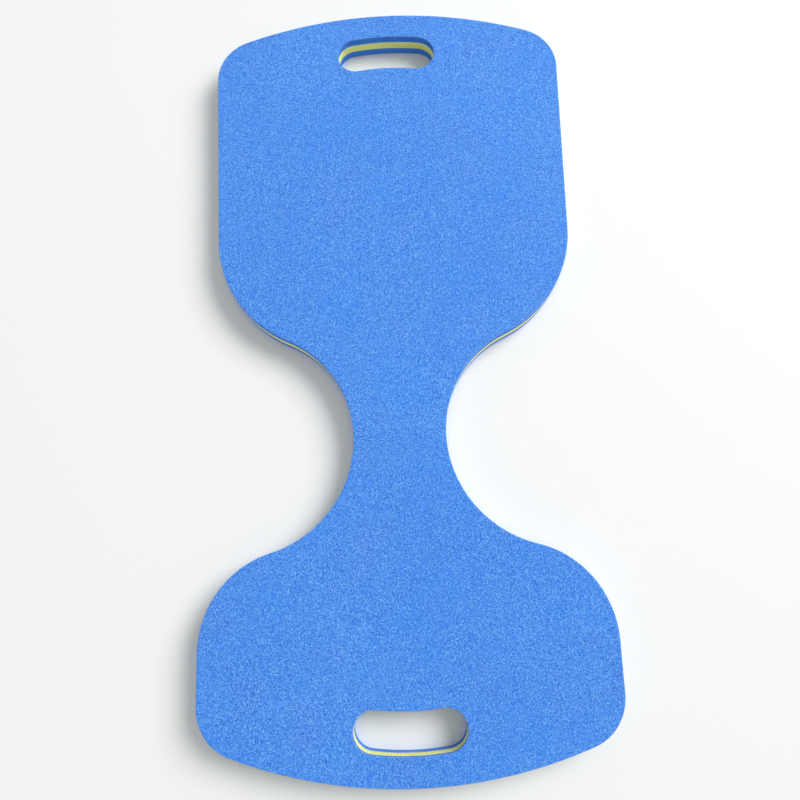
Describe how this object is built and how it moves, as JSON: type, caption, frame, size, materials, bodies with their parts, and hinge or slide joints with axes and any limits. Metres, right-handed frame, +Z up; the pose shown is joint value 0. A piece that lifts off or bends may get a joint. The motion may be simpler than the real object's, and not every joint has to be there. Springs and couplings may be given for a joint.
{
  "type": "foam saddle float",
  "caption": "Flat laminated foam float with a narrow waist to sit astride, a flexing panel at each end and a curved hand slot through each panel.",
  "frame": {"origin": "middle of the narrow waist, on the underside that the board rests on", "axes": "+Y along the board towards the longer panel, +X across it, +Z up out of the upper face"},
  "size_m": [0.448, 0.9, 0.03],
  "materials": {
    "blue_foam": "matte, fine pebbled skin of closed-cell foam",
    "yellow_foam": "matte, cut closed-cell foam"
  },
  "bodies": {
    "seat": {"bottom_sheet_seat": "blue_foam", "core_sheet_seat": "yellow_foam", "top_sheet_seat": "blue_foam"},
    "long_panel": {"bottom_sheet_long_panel": "blue_foam", "core_sheet_long_panel": "yellow_foam", "top_sheet_long_panel": "blue_foam"},
    "wide_panel": {"bottom_sheet_wide_panel": "blue_foam", "core_sheet_wide_panel": "yellow_foam", "top_sheet_wide_panel": "blue_foam"}
  },
  "joints": [
    {"name": "long_panel_bend", "type": "hinge", "parent": "seat", "child": "long_panel", "pos_m": [0, 0.08, 0.03], "axis": [1, 0, 0], "range_deg": [0, 70], "stiffness_Nm_per_rad": 1},
    {"name": "wide_panel_bend", "type": "hinge", "parent": "seat", "child": "wide_panel", "pos_m": [0, -0.08, 0.03], "axis": [-1, 0, 0], "range_deg": [0, 70], "stiffness_Nm_per_rad": 1}
  ]
}
